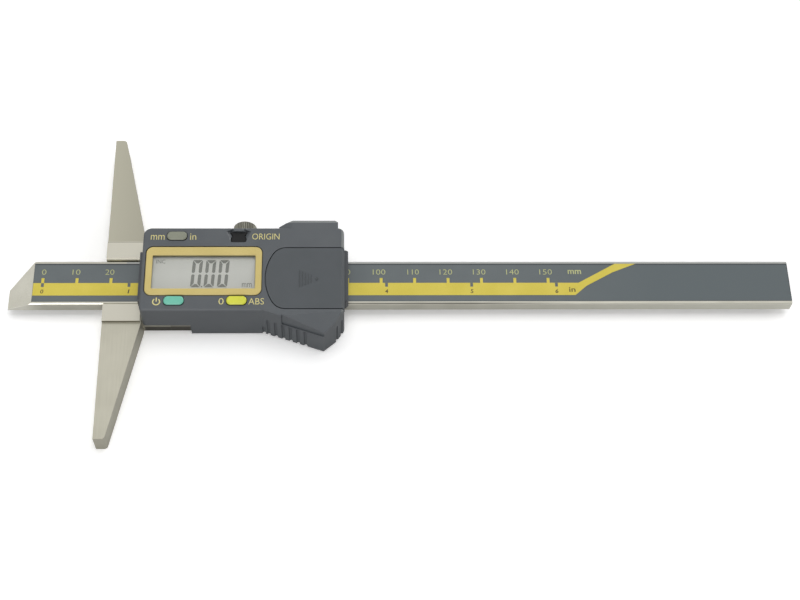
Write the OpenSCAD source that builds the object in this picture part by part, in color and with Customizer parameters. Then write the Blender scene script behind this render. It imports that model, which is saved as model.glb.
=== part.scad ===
// Digital depth caliper, 150 mm, lying on its back with the display up.
// The origin is at the foot of the base's measuring face, on the centre line of the beam.
// +X runs along the beam to its tail, the measuring tip points to -X, and +Z leaves the display.

/* [Beam] */
// Length of the graduated beam
beam_len = 233; // [215:1:300]
// Width of the beam
beam_w = 14.4; // [13:0.1:17]
// Thickness of the beam
beam_t = 3.8; // [3.2:0.1:5]
// How far the beam's tip stands out of the base, the depth that is being read
reading = 28.4; // [10:0.1:60]
// Thickness left at the measuring tip
tip_t = 0.7; // [0.4:0.1:1.5]
// Length of the ramp ground on the front of the tip
ramp_len = 7.2; // [4:0.1:12]
// Width of the flat end of the tip
tip_face_w = 6.1; // [3:0.1:9]
// Length along the beam of the slanting cut beside the tip
tip_cut_len = 7.6; // [4:0.1:14]
// Width of the bare steel edge beside the scale
rim_w = 0.8; // [0.5:0.1:1.5]
// Bevel along the beam's upper edges
beam_bevel = 0.35; // [0.1:0.05:0.5]
// Thickness of the scale's electrode board
scale_board_t = 0.9; // [0.5:0.1:1.2]
// Thickness of the printed cover over the scale
scale_cover_t = 0.4; // [0.2:0.05:0.6]
// Length of the stop plate under the beam's tail
stop_len = 5; // [3:0.5:8]
// Thickness of the stop plate
stop_t = 1.2; // [0.6:0.1:2]

/* [Scale print] */
// Width of the yellow stripe
stripe_w = 4.15; // [3:0.05:5.4]
// Upper edge of the stripe from the beam's centre line
stripe_top_y = -0.2; // [-0.6:0.05:0.6]
// Distance of the zero mark from the tip
zero_from_tip = 10.1; // [9:0.1:14]
// Last mark in millimetres
scale_max = 150; // [100:10:150]
// Length of a scale mark
mark_len = 1.65; // [0.8:0.05:1.9]
// Depth of the inch notches
notch_deep = 1.3; // [0.8:0.05:1.8]
// Width of a scale mark
mark_w = 0.85; // [0.4:0.05:1.4]
// Distance from the last mark to where the stripe turns up
stripe_tail = 9.1; // [5:0.1:14]
// How far past the last millimetre mark an inch mark may lie
inch_past = 4; // [0:1:6]
// Thickness of the print
print_t = 0.05; // [0.02:0.01:0.06]

/* [Base] */
// Length of the measuring face
base_len = 100; // [80:1:150]
// Thickness of the base's arms
base_t = 7.4; // [6:0.1:9]
// How far the middle block stands above the arms
block_rise = 0.9; // [0.3:0.1:1.2]
// Length of the middle block along the measuring face
block_len = 26.5; // [24:0.5:34]
// Depth of the middle block from the measuring face
block_depth = 10.35; // [8:0.05:11]
// How far the block's shoulders stop short of the slider
shoulder_in = 0.3; // [0.1:0.05:0.6]
// Depth of the base beside the slider
root_depth = 11.4; // [11:0.1:14]
// Depth of the arms at their ends
arm_end_depth = 3.2; // [2:0.1:6]
// Radius on the arms' outer corners
arm_corner_r = 1.1; // [0.3:0.1:1.5]
// Metal left under the beam
floor_t = 3.3; // [2.6:0.1:4]
// Length of the tongue that the base is screwed on by
tongue_len = 8; // [6:0.5:12]
// Bevel along the beam's channel
channel_bevel = 0.4; // [0.2:0.1:0.6]

/* [Slider frame] */
// Distance of the steel frame's end inside the housing's far end
frame_in = 0.7; // [0.4:0.1:2]
// Width of the rail on each side of the beam
rail_w = 5.1; // [4.6:0.1:6]
// Running gap round the beam
run_gap = 0.1; // [0.06:0.01:0.14]
// Thickness of the gib strip
gib_t = 0.9; // [0.6:0.1:1.2]
// Distance of the gib screws from the frame's ends
gib_screw_in = 9; // [6:0.5:14]
// Thickness of the sheet plate that keeps the beam in
plate_t = 0.6; // [0.4:0.1:1]

/* [Lock screw] */
// Diameter of the knurled knob
knob_d = 6.9; // [5:0.1:8]
// Length of the knurled knob
knob_len = 5.8; // [4:0.1:8]
// Place of the knob behind the housing's front end
knob_x = 29.1; // [22:0.1:34]
// Diameter of the lock screw's thread
lock_d = 2.9; // [2:0.1:3.2]
// Gap between the housing's back and the knob
knob_gap = 0.6; // [0.3:0.1:2]
// Ribs round the knob
knurl_count = 36; // [24:2:48]
// Depth of the knurl
knurl_deep = 0.2; // [0.1:0.05:0.3]

/* [Housing] */
// Length of the housing
house_len = 59.1; // [58.4:0.1:62]
// Wall along the front side
front_wall_t = 1; // [0.8:0.1:1.6]
// Wall along the back side
back_wall_t = 1.6; // [1:0.1:1.8]
// Wall at the end towards the base
end_wall_t = 1.3; // [1:0.1:2]
// Wall at the end that the battery cover closes
cover_end_t = 2.6; // [2.3:0.1:3]
// Thickness of the housing's top
top_t = 1.5; // [1.3:0.1:1.8]
// Chamfer round the housing's top
top_chamfer = 0.4; // [0.2:0.05:0.7]
// Chamfer along the end that the battery cover closes
end_chamfer = 0.8; // [0.4:0.1:1]
// Radius of the corner beside the base, at the back
corner_r = 2.4; // [1.5:0.1:3]
// Radius of the far corner at the back
far_corner_r = 1.8; // [1:0.1:3]
// Radius of the front corners
front_corner_r = 1.1; // [0.8:0.1:2]
// Height of the housing's lower edge over the resting surface
skirt_gap = 0.3; // [0.1:0.1:0.6]
// Length of the notch that shows the frame beside the base
notch_len = 14; // [10:0.5:18]
// Height of the notch
notch_h = 5.6; // [4:0.1:6.5]
// Height of the back wall's lower edge
back_skirt_z = 9; // [8.8:0.1:10]

/* [Thumb rest] */
// How far the thumb rest reaches out of the housing's side
thumb_reach = 6.05; // [4:0.05:9]
// Distance of the thumb rest's tip from the housing's far end
thumb_tip_in = 6.1; // [4:0.1:9]
// Length of the thumb rest's long flank along the housing
thumb_flank = 17.6; // [12:0.1:20]
// Drop of the thumb rest's top from the housing's top to the tip
thumb_drop = 3.8; // [2:0.1:5]
// Part of the long flank where the top is still level
thumb_level = 0.31; // [0.1:0.01:0.5]
// Length of the smooth part of the long flank beside the tip
thumb_smooth = 5.6; // [3:0.1:8]
// Distance between the grip grooves
groove_pitch = 2.3; // [1.8:0.1:3]
// Radius of a grip groove
groove_r = 0.5; // [0.2:0.05:0.6]
// Height of a grip groove
groove_h = 9.7; // [6:0.1:10]
// Depth of the smooth band over the grooves
band_deep = 0.4; // [0.1:0.05:0.6]
// Wall round the hollow under the thumb rest
thumb_wall = 1.2; // [1:0.1:1.6]

/* [Display] */
// Land between the yellow bezel and the battery cover
cover_to_bezel = 1.2; // [0.8:0.1:3]
// Width of the yellow bezel
bezel_w = 16; // [15:0.1:16.6]
// Width of the bezel's long border
bezel_side = 2.65; // [2:0.05:3]
// Width of the bezel's end border
bezel_end = 1.9; // [1.5:0.05:2.5]
// Place of the bezel behind the housing's front end
bezel_x = 1.2; // [1:0.1:2]
// Middle of the bezel from the beam's centre line
bezel_y = -0.55; // [-0.8:0.05:0]
// Radius of the bezel's corners
bezel_r = 2; // [1:0.1:3]
// Bevel round the inside of the bezel
bezel_bevel = 0.2; // [0.1:0.05:0.7]
// How far the bezel stands out of the housing
bezel_rise = 0.15; // [0.05:0.05:0.4]
// Gap round the bezel
bezel_gap = 0.25; // [0.05:0.05:0.3]
// Thickness of the bezel's flange
bezel_t = 0.9; // [0.6:0.05:1]
// Thickness of the clear window
window_t = 0.5; // [0.3:0.05:0.6]
// Thickness of the liquid crystal panel
lcd_t = 1.6; // [1.1:0.1:2]

/* [Keys] */
// Length of a key
key_len = 5.8; // [4:0.1:6.4]
// Width of a key
key_w = 2.8; // [2:0.1:3]
// How far a key stands out of the housing
key_rise = 0.5; // [0.2:0.05:0.9]
// Travel of a key
key_travel = 0.6; // [0.3:0.05:0.6]
// Gap round a key
key_gap = 0.18; // [0.08:0.01:0.25]
// Middle of the first keys behind the housing's front end
first_key_x = 9.85; // [8:0.05:10.5]
// Middle of the second keys before the bezel's far end
second_key_in = 7.05; // [5:0.05:8]
// Middle of the back keys from the housing's back
back_key_in = 2.85; // [2.7:0.05:3.1]
// Middle of the front keys from the housing's front
front_key_in = 3; // [2.8:0.05:3.2]
// Eased edge round a key
key_ease = 0.3; // [0.1:0.05:0.4]
// Length of the sunk key at its wide end
sunk_key_len = 5; // [4:0.1:5.4]
// Width of the sunk key
sunk_key_w = 3.5; // [3:0.1:3.6]
// Depth of the scoops beside the sunk key
scoop_deep = 1.1; // [0.6:0.1:1.4]
// How far the scoops spread at the housing's back
scoop_spread = 1.5; // [0.8:0.1:2]

/* [Battery] */
// Diameter of the button cell
cell_d = 11.6; // [9.5:0.1:12.5]
// Height of the button cell
cell_h = 5.4; // [5:0.1:6]
// Length of the battery cover
cover_len = 23; // [21:0.1:24]
// Width of the battery cover
cover_w = 20; // [19:0.1:20.2]
// Thickness of the battery cover
cover_t = 1; // [0.8:0.05:1.2]
// Radius of the battery cover's rounded end
cover_arc_r = 15.5; // [13:0.5:30]
// Radius that joins the rounded end to the battery cover's sides
cover_corner_r = 4.5; // [1:0.1:6]
// Wall between the battery cover and the housing's front side
cover_side_wall = 0.5; // [0.4:0.05:0.8]
// Gap round the battery cover
cover_gap = 0.28; // [0.1:0.01:0.3]
// Middle of the button cell from the battery cover's rounded end
cell_in = 10.6; // [10.2:0.1:11]
// Start of the cover's runners from its rounded end
runner_start = 9.7; // [9:0.1:12]
// Depth of the cover's lip down the housing's end
lip_h = 3.7; // [3:0.1:3.9]
// Thickness of the battery cover's lip
lip_t = 1.2; // [0.8:0.1:1.4]

/* [Data port] */
// Length of the port's bump at its top
port_len = 13.5; // [12:0.1:14.5]
// How far the bump stands out of the housing's back
port_reach = 2.75; // [2.2:0.05:4]
// Distance of the bump from the housing's far end
port_end_in = 1.8; // [1.6:0.1:2.5]
// Length of the facet that leads up to the bump
port_facet_len = 4; // [2:0.1:5]
// Height of the step where that facet starts
port_step = 0.8; // [0.3:0.05:1.2]
// Fall of the small facet on top of it
port_facet_drop = 0.8; // [0.2:0.1:1.2]
// Width of the slant round the bump's top
port_chamfer = 1; // [0.4:0.05:1.2]
// Cut corner at the bump's far end
port_corner = 0.8; // [0.3:0.1:1.2]
// Height of the bump's lower edge
port_z0 = 4.5; // [3:0.1:6]
// Length of the port's cover
port_cover_len = 10.8; // [9:0.1:11]
// Height of the port's cover
port_cover_h = 5.8; // [5:0.1:6]

/* [Hidden] */
$fn = 48;
// A cut runs this far past what it opens
over = 1;
// Thickness of a circuit board
board_t = 0.8;
// Thickness of a contact spring
contact_t = 0.15;
// Room over the button cell
cell_room = 0.15;
// Height of a collar over the beam's front
collar_h = 4.2;
// Half width of the front collar
front_collar_half = 8.2;
// Half width of the rear collar
rear_collar_half = 8.8;
// Thickness of the rear collar
rear_collar_t = 1.2;
// Cut corner at each end of the rear collar
rear_collar_cut = 0.75;
// A close fit between pieces that stay together
fit = 0.05;
// Radius, head radius and edge distance of the countersunk screws
screw_r = 0.95;
screw_head_r = 1.9;
screw_edge = 2.1;
screw_sink = 0.15;
// First pair of housing screws behind the housing's front end, second pair past the bezel
first_screw_x = 16.4;
second_screw_past = 3.6;
boss_r = 1.7;
// Start of the pickup behind the housing's inner end
sensor_in = 7;
// Depth of the slab behind each side of the housing
slab_deep = 5;
// Height of the contact domes under the keys
dome_h = 0.4;

// Heights, from the resting surface up
beam_z0 = floor_t + run_gap;
beam_z1 = beam_z0 + beam_t;
beam_mid_z = beam_z0 + beam_t / 2;
rail_z1 = beam_z1 + run_gap;
plate_z1 = rail_z1 + plate_t;
board_z1 = plate_z1 + board_t;
cell_z0 = board_z1 + contact_t;
cover_z0 = cell_z0 + cell_h + cell_room;
house_z1 = cover_z0 + cover_t;
bay_z1 = cover_z0 - fit;
bay_z0 = bay_z1 - 1;
top_inner_z = house_z1 - top_t;
bezel_z0 = house_z1 - bezel_t;
window_z0 = bezel_z0 - window_t;
lcd_z1 = min(window_z0, top_inner_z) - fit;
lcd_z0 = lcd_z1 - lcd_t;
tongue_t = floor_t - run_gap;

// Places across the beam
beam_half = beam_w / 2;
channel_half = beam_half + run_gap;
frame_half = beam_half + rail_w;
inner_half = frame_half + 0.1;
front_y = -inner_half - front_wall_t;
back_y = inner_half + back_wall_t;
gib_y0 = beam_half + fit;
gib_y1 = gib_y0 + gib_t;
screw_y = frame_half - screw_edge;
back_key_y = back_y - back_key_in;
front_key_y = front_y + front_key_in;

// Places along the beam
tip_x = -reading;
tail_x = tip_x + beam_len;
scale_x0 = tip_x + ramp_len + 0.1;
zero_x = tip_x + zero_from_tip;
frame_x0 = root_depth;
house_x0 = root_depth + 0.2;
house_x1 = house_x0 + house_len;
frame_x1 = house_x1 - frame_in;
inner_x0 = house_x0 + end_wall_t;
inner_x1 = house_x1 - cover_end_t;
lock_x = house_x0 + knob_x;
base_screw_x = root_depth + tongue_len / 2;

// Display
bezel_x0 = house_x0 + bezel_x;
bezel_x1 = house_x1 + 0.1 - cover_len - cover_to_bezel;
house_screw_x = [first_screw_x, bezel_x1 + second_screw_past - house_x0];
second_key_x = bezel_x1 - second_key_in - house_x0;
bezel_y0 = bezel_y - bezel_w / 2;
bezel_y1 = bezel_y + bezel_w / 2;
view_x0 = bezel_x0 + bezel_end;
view_x1 = bezel_x1 - bezel_end;
view_y0 = bezel_y0 + bezel_side - 0.45;
view_y1 = bezel_y1 - bezel_side - 0.15;
window_lap = 0.7;

// Battery bay
cover_x1 = house_x1 + 0.1;
cover_x0 = cover_x1 - cover_len;
cover_y0 = front_y + cover_side_wall;
cover_y1 = cover_y0 + cover_w;
cover_mid_y = (cover_y0 + cover_y1) / 2;
cell_x = cover_x0 + cell_in;
cell_r = cell_d / 2;
well_r = cell_r + 0.2;
runner_in = well_r + 1.1;
runner_w = 1;
runner_foot = 0.8;
runner_foot_h = 0.7;
runner_x0 = cover_x0 + runner_start;
runner_x1 = inner_x1 - 0.2;

// Data port
port_x1 = house_x1 - port_end_in;
port_x0 = port_x1 - port_len;
port_y1 = back_y + port_reach;
port_cover_x0 = (port_x0 + port_x1 - port_cover_len) / 2;
port_cover_z0 = port_z0 + 2.9;
port_lip = 1;
port_plate_t = 0.6;
port_tongue = 1.5;

// Thumb rest
thumb_tip = [house_x1 - thumb_tip_in, front_y - thumb_reach];
thumb_start = [thumb_tip.x - thumb_flank, front_y];
thumb_bend = thumb_tip + [3.6, 3];
thumb_end = [house_x1 - 0.1, front_y + 0.4];

// The limits of a stretch that reaches equally far to both sides
function span(mid, half) = [mid - half, mid + half];

// A block given by its limits
module block(x, y, z) {
    translate([x[0], y[0], z[0]])
        cube([x[1] - x[0], y[1] - y[0], z[1] - z[0]]);
}

// A rectangle with round corners, given by its limits
module round_rect(x, y, r) {
    translate([x[0] + r, y[0]])
        square([x[1] - x[0] - 2 * r, y[1] - y[0]]);
    translate([x[0], y[0] + r])
        square([x[1] - x[0], y[1] - y[0] - 2 * r]);
    for (cx = [x[0] + r, x[1] - r], cy = [y[0] + r, y[1] - r])
        translate([cx, cy])
            circle(r);
}

module round_plate(x, y, z, r) {
    translate([0, 0, z[0]])
        linear_extrude(z[1] - z[0])
            round_rect(x, y, r);
}

// A plate with round corners and an eased top edge: two prisms and a turned post at each corner
module eased_plate(x, y, z, r, c) {
    translate([x[0] + r, 0, 0])
        rotate([90, 0, 90])
            linear_extrude(x[1] - x[0] - 2 * r)
                eased_section(y, z, c);
    translate([0, y[1] - r, 0])
        rotate([90, 0, 0])
            linear_extrude(y[1] - y[0] - 2 * r)
                eased_section(x, z, c);
    for (cx = [x[0] + r, x[1] - r], cy = [y[0] + r, y[1] - r])
        translate([cx, cy, 0])
            rotate_extrude()
                polygon([[0, z[0]], [r, z[0]], [r, z[1] - c], [r - c, z[1]], [0, z[1]]]);
}

module eased_section(x, z, c) {
    polygon([
        [x[0], z[0]],
        [x[1], z[0]],
        [x[1], z[1] - c],
        [x[1] - c, z[1]],
        [x[0] + c, z[1]],
        [x[0], z[1] - c]
    ]);
}

// What a chamfer takes off a top edge that starts at a point; before its turn the edge runs
// along +X and its outer side looks to +Y
module edge_chamfer(start, turn, len, run, drop) {
    slope = atan2(drop, run);
    size = 2 * (run + drop);
    translate(start)
        rotate([-slope, 0, turn])
            translate([0, -size, -run * sin(slope)])
                cube([len, 2 * size, size]);
}

// A countersunk screw with its head at z = 0 and its end at z = len
module countersunk(r, head_r, len) {
    rotate_extrude()
        polygon([[0, 0], [head_r, 0], [head_r, 0.15], [r, head_r - r + 0.15], [r, len], [0, len]]);
}

module cross_screw(r, head_r, len) {
    difference() {
        countersunk(r, head_r, len);
        for (turn = [0, 90])
            rotate([0, 0, turn])
                block([-head_r * 0.6, head_r * 0.6], [-0.17, 0.17], [-over, 0.5]);
    }
}

// The hole for a countersunk screw, down to the resting surface
module screw_seat(len) {
    translate([0, 0, screw_sink])
        countersunk(screw_r + 0.15, screw_head_r + 0.12, len);
    translate([0, 0, -over])
        cylinder(r = screw_head_r + 0.12, h = over + screw_sink + fit);
}

// A cylinder along +Y from y0 to y1
module rod_y(x, z, y0, y1, r) {
    translate([x, y0, z])
        rotate([-90, 0, 0])
            cylinder(r = r, h = y1 - y0);
}

// The beam: a ground flat bar with a thinned tip and a long recess for the scale
module beam() {
    color("#c9c6b8")
        difference() {
            intersection() {
                translate([0, 0, beam_z0])
                    linear_extrude(beam_t)
                        polygon([
                            [tip_x, -beam_half],
                            [tail_x, -beam_half],
                            [tail_x, beam_half],
                            [tip_x + tip_cut_len, beam_half],
                            [tip_x, tip_face_w - beam_half]
                        ]);
                translate([0, beam_half + over, 0])
                    rotate([90, 0, 0])
                        linear_extrude(beam_w + 2 * over)
                            polygon([
                                [tip_x, beam_z0],
                                [tail_x, beam_z0],
                                [tail_x, beam_z1],
                                [tip_x + ramp_len, beam_z1],
                                [tip_x, beam_z0 + tip_t]
                            ]);
            }
            block([scale_x0, tail_x + over], [rim_w - beam_half, beam_half - rim_w],
                [beam_z1 - scale_board_t - scale_cover_t, beam_z1 + over]);
            edge_chamfer([tip_x - over, beam_half, beam_z1], 0, beam_len + 2 * over,
                beam_bevel, beam_bevel);
            edge_chamfer([tail_x + over, -beam_half, beam_z1], 180, beam_len + 2 * over,
                beam_bevel, beam_bevel);
            for (side = [-1, 1])
                translate([tail_x - 1 - stop_len / 2, side * beam_w / 5, beam_z0 - over])
                    cylinder(r = 0.7 + fit, h = over + stop_screw_deep());
        }
}

function stop_screw_deep() = min(2, beam_t - scale_board_t - scale_cover_t - 0.4);

// The electrode board glued in the beam's recess
module scale_board() {
    color("#2f5a3a")
        block([scale_x0 + fit, tail_x], [rim_w + fit - beam_half, beam_half - rim_w - fit],
            [beam_z1 - scale_board_t - scale_cover_t, beam_z1 - scale_cover_t]);
}

// The printed cover that protects the board
module scale_cover() {
    color("#5f6468")
        block([scale_x0 + fit, tail_x], [rim_w + fit - beam_half, beam_half - rim_w - fit],
            [beam_z1 - scale_cover_t, beam_z1]);
}

// The yellow print: a stripe with millimetre marks above it and inch marks cut into it
module scale_stripe() {
    turn_x = zero_x + scale_max + stripe_tail;
    low_y = stripe_top_y - stripe_w;
    high_y = beam_half - rim_w - 0.1;
    rise = high_y - stripe_top_y;
    color("#d9c24a")
        translate([0, 0, beam_z1])
            linear_extrude(print_t)
                difference() {
                    union() {
                        polygon([
                            [scale_x0 + 0.1, low_y],
                            [turn_x - 1.2, low_y],
                            [turn_x + rise * 0.36, low_y + rise * 0.48],
                            [turn_x + rise * 1.62, high_y - rise * 0.45],
                            [turn_x + rise * 2.72, high_y],
                            [turn_x + rise * 1.75, high_y],
                            [turn_x, stripe_top_y],
                            [scale_x0 + 0.1, stripe_top_y]
                        ]);
                        for (mm = [0 : 10 : scale_max])
                            translate([zero_x + mm - mark_w / 2, stripe_top_y - 0.1])
                                square([mark_w, mark_len + 0.1]);
                    }
                    for (mm = [0 : 25.4 : scale_max + inch_past])
                        translate([zero_x + mm - mark_w / 2, stripe_top_y - notch_deep])
                            square([mark_w, notch_deep * 0.999]);
                }
}

// The plate under the tail that stops the beam against the slider frame
module stop_plate() {
    color("#b7b4a8")
        difference() {
            block([tail_x - 1 - stop_len, tail_x - 1], [-beam_w * 0.36, beam_w * 0.36],
                [beam_z0 - stop_t, beam_z0]);
            for (side = [-1, 1])
                translate([tail_x - 1 - stop_len / 2, side * beam_w / 5, beam_z0 - stop_t - over])
                    cylinder(r = 0.7 + fit, h = stop_t + 2 * over);
        }
}

module stop_screws() {
    head_z = beam_z0 - stop_t - 0.5;
    color("#8d8b84")
        for (side = [-1, 1])
            translate([tail_x - 1 - stop_len / 2, side * beam_w / 5, head_z])
                difference() {
                    union() {
                        cylinder(r = 1.2, h = 0.5);
                        cylinder(r = 0.7, h = 0.5 + stop_t + stop_screw_deep() - 0.2);
                    }
                    block([-over, over], [-0.15, 0.15], [-over, 0.25]);
                }
}

// The base: one steel T with tapered arms, a raised middle block and the beam's channel
module base() {
    collar_slot = front_collar_half + 0.1;
    color("#c4c1b2")
        difference() {
            union() {
                linear_extrude(base_t)
                    base_outline();
                block([0, max(block_depth, root_depth - shoulder_in)],
                    [-block_len / 2, block_len / 2], [0, base_t + block_rise]);
                block([root_depth - over, root_depth + tongue_len], [-frame_half, frame_half],
                    [0, tongue_t]);
            }
            block([-over, root_depth + tongue_len + over], [-channel_half, channel_half],
                [floor_t, base_t + 2 * over]);
            block([block_depth, root_depth + over], [-collar_slot, collar_slot],
                [base_t, base_t + 2 * over]);
            edge_chamfer([-over, -channel_half, base_t + block_rise], 0, 2 * block_depth,
                channel_bevel, channel_bevel);
            edge_chamfer([2 * block_depth, channel_half, base_t + block_rise], 180,
                3 * block_depth, channel_bevel, channel_bevel);
            for (side = [-1, 1])
                translate([base_screw_x, side * screw_y, 0])
                    screw_seat(tongue_t + over);
        }
}

// Plan of the base: both arms narrow from the middle block to their round-cornered ends
module base_outline() {
    half = base_len / 2;
    root_y = block_len / 2;
    slant = atan2(root_depth - arm_end_depth, half - root_y);
    r = arm_corner_r;
    end_x = arm_end_depth - r * tan(45 - slant / 2);
    union() {
        block_2d([0, root_depth], [-root_y, root_y]);
        for (side = [0, 1])
            mirror([0, side])
                difference() {
                    polygon([
                        [0, root_y - over],
                        [root_depth, root_y - over],
                        [root_depth, root_y],
                        [arm_end_depth, half],
                        [0, half]
                    ]);
                    difference() {
                        translate([end_x, half - r])
                            square([r + over, r + over]);
                        translate([end_x, half - r])
                            circle(r);
                        translate([end_x - over, half - r - over])
                            square([over, r + 2 * over]);
                    }
                }
    }
}

module block_2d(x, y) {
    translate([x[0], y[0]])
        square([x[1] - x[0], y[1] - y[0]]);
}

module base_screws() {
    color("#8d8b84")
        for (side = [-1, 1])
            translate([base_screw_x, side * screw_y, screw_sink])
                cross_screw(screw_r, screw_head_r, rail_z1 - 1.2);
}

// The slider frame: a milled steel channel that the beam runs in
module slider_frame() {
    pocket_in = 2.5;
    color("#bdbaab")
        difference() {
            block([frame_x0, frame_x1], [-frame_half, frame_half], [0, rail_z1]);
            block([frame_x0 - over, frame_x1 + over], [-channel_half, channel_half],
                [floor_t, rail_z1 + over]);
            block([frame_x0 + pocket_in, frame_x1 - pocket_in], [0, gib_y1 + fit],
                [floor_t, rail_z1 + over]);
            block([frame_x0 - over, frame_x0 + tongue_len + fit],
                [-frame_half - over, frame_half + over], [-over, tongue_t + fit]);
            for (side = [-1, 1])
                translate([base_screw_x, side * screw_y, 0])
                    cylinder(r = screw_r + fit, h = rail_z1 - 0.7);
            for (x = house_screw_x, side = [-1, 1])
                translate([house_x0 + x, side * screw_y, 0])
                    screw_seat(rail_z1 + over);
            for (x = [frame_x0 + gib_screw_in, frame_x1 - gib_screw_in])
                rod_y(x, beam_mid_z, gib_y1, frame_half + over, 1 + fit);
            rod_y(lock_x, beam_mid_z, gib_y1, frame_half + over, lock_d / 2 + fit);
        }
}

// The gib: a strip that takes up the side play of the beam
module gib_strip() {
    color("#b08d4a")
        block([frame_x0 + 2.6, frame_x1 - 2.6], [gib_y0, gib_y1], [floor_t + 0.05, rail_z1 - 0.05]);
}

module gib_screws() {
    color("#8d8b84")
        for (x = [frame_x0 + gib_screw_in, frame_x1 - gib_screw_in])
            difference() {
                rod_y(x, beam_mid_z, gib_y1 + fit, frame_half - 0.1, 1);
                block([x - over, x + over], [frame_half - 0.7, frame_half], span(beam_mid_z, 0.15));
            }
}

// The sheet plate that lies on both rails and keeps the beam down in its channel
module retaining_plate() {
    color("#a9a79c")
        difference() {
            block([inner_x0 + 0.1, inner_x1 - 0.1], [0.2 - inner_half, inner_half - 0.2],
                [rail_z1, plate_z1]);
            block(sensor_x() + [-0.1, 0.1], [-sensor_half() - 0.1, sensor_half() + 0.1],
                [rail_z1 - over, plate_z1 + over]);
            for (x = house_screw_x, side = [-1, 1])
                translate([house_x0 + x, side * screw_y, rail_z1 - over])
                    cylinder(r = screw_r + 0.15, h = plate_t + 2 * over);
        }
}

function sensor_x() = [inner_x0 + sensor_in, bezel_x1 + 0.3];
function sensor_half() = beam_half - rim_w - 0.2;

// The capacitive pickup, close over the scale in the plate's window
module sensor_board() {
    color("#2f5a3a")
        block(sensor_x(), [-sensor_half(), sensor_half()], [rail_z1 + fit, plate_z1]);
}

// The circuit board, held down by the housing's bosses
module circuit_board() {
    color("#2f6b3f")
        difference() {
            block([inner_x0 + 0.3, inner_x1 - 0.3], [0.3 - inner_half, inner_half - 0.3],
                [plate_z1, board_z1]);
            for (x = house_screw_x, side = [-1, 1])
                translate([house_x0 + x, side * screw_y, plate_z1 - over])
                    cylinder(r = boss_r + 0.15, h = board_t + 2 * over);
        }
}

// The snap domes that the keys press
module key_domes() {
    color("#c9b26a")
        for (place = key_places())
            translate([place.x, place.y, board_z1])
                rotate_extrude()
                    polygon([[0, 0], [1, 0], [0.85, 0.2], [0.5, dome_h], [0, dome_h]]);
}

function key_places() = [
    [house_x0 + first_key_x, back_key_y],
    [house_x0 + second_key_x, back_key_y - 0.2],
    [house_x0 + first_key_x, front_key_y],
    [house_x0 + second_key_x, front_key_y]
];

// The display panel: two sheets of glass, the lower one wider for its contacts
module lcd_panel() {
    color("#bdbfb8") {
        block([bezel_x0 + 0.9, bezel_x1 - 0.9], [bezel_y0 + 0.6, bezel_y1 - 0.6],
            [lcd_z0, lcd_z0 + lcd_t / 2]);
        block([bezel_x0 + 0.9, bezel_x1 - 0.9], [bezel_y0 + 1.2, bezel_y1 - 1.2],
            [lcd_z0 + lcd_t / 2 - 0.01, lcd_z1]);
    }
}

// The rubber strips that join the panel's contacts to the board
module contact_strips() {
    color("#d88a92")
        for (y = [[bezel_y0 + 0.7, bezel_y0 + 2.2], [bezel_y1 - 2.2, bezel_y1 - 0.7]])
            block([bezel_x0 + 2, bezel_x1 - 2], y, [board_z1, lcd_z0]);
}

// The clear window under the bezel's flange
module display_window() {
    color("#e8efe8", 0.4)
        block([view_x0 - window_lap, view_x1 + window_lap],
            [view_y0 - window_lap, view_y1 + window_lap], [window_z0, bezel_z0]);
}

// The yellow bezel, let into the housing's top
module bezel() {
    color("#d9bf78")
        difference() {
            eased_plate([bezel_x0, bezel_x1], [bezel_y0, bezel_y1],
                [bezel_z0, house_z1 + bezel_rise], bezel_r, 0.2);
            round_plate([view_x0, view_x1], [view_y0, view_y1], [bezel_z0 - over, house_z1 + over],
                0.3);
            intersection() {
                translate([0, bezel_y1, 0])
                    rotate([90, 0, 0])
                        linear_extrude(bezel_w)
                            bevel_section([view_x0, view_x1]);
                translate([bezel_x0, 0, 0])
                    rotate([90, 0, 90])
                        linear_extrude(bezel_x1 - bezel_x0)
                            bevel_section([view_y0, view_y1]);
            }
        }
}

// Section of what the bevel takes off round the display
module bevel_section(x) {
    top_z = house_z1 + bezel_rise;
    polygon([
        [x[0], top_z - bezel_bevel],
        [x[1], top_z - bezel_bevel],
        [x[1] + bezel_bevel + over, top_z + over],
        [x[0] - bezel_bevel - over, top_z + over]
    ]);
}

// The moulded housing: a thin shell with the display's opening, key holes, battery bay,
// data port bump and ribbed thumb rest
module housing() {
    color("#63676b")
        difference() {
            union() {
                difference() {
                    union() {
                        housing_body();
                        port_bump();
                        thumb_rest();
                    }
                    block([inner_x0, inner_x1], [-inner_half, inner_half], [-over, top_inner_z]);
                    block([house_x0 - over, house_x1 + over], [-inner_half, inner_half],
                        [-over, rail_z1 + 0.1]);
                    block([house_x0 - over, house_x0 + notch_len], [front_y - over, 0],
                        [-over, notch_h]);
                    block([house_x0 - over, port_x0 - port_facet_len], [0, back_y + over],
                        [-over, back_skirt_z]);
                }
                for (x = house_screw_x, side = [-1, 1])
                    translate([house_x0 + x, side * screw_y, plate_z1])
                        cylinder(r = boss_r, h = top_inner_z + 0.1 - plate_z1);
                block([cover_x0 - 1.5, inner_x1 + fit], [0.05 - inner_half, cover_y1 + 1.2],
                    [bay_z0, bay_z1]);
                translate([cell_x, cover_mid_y, board_z1 + 0.4])
                    cylinder(r = well_r + 0.9, h = bay_z0 + fit - board_z1 - 0.4);
            }
            display_opening();
            key_openings();
            battery_bay();
            port_pocket();
            grip_grooves();
            thumb_hollow();
            edge_chamfer([house_x1, back_y, house_z1], -90, back_y - front_y, end_chamfer,
                end_chamfer);
            for (x = house_screw_x, side = [-1, 1])
                translate([house_x0 + x, side * screw_y, plate_z1 - over])
                    cylinder(r = screw_r + fit, h = 3.9 + over);
        }
}

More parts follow.
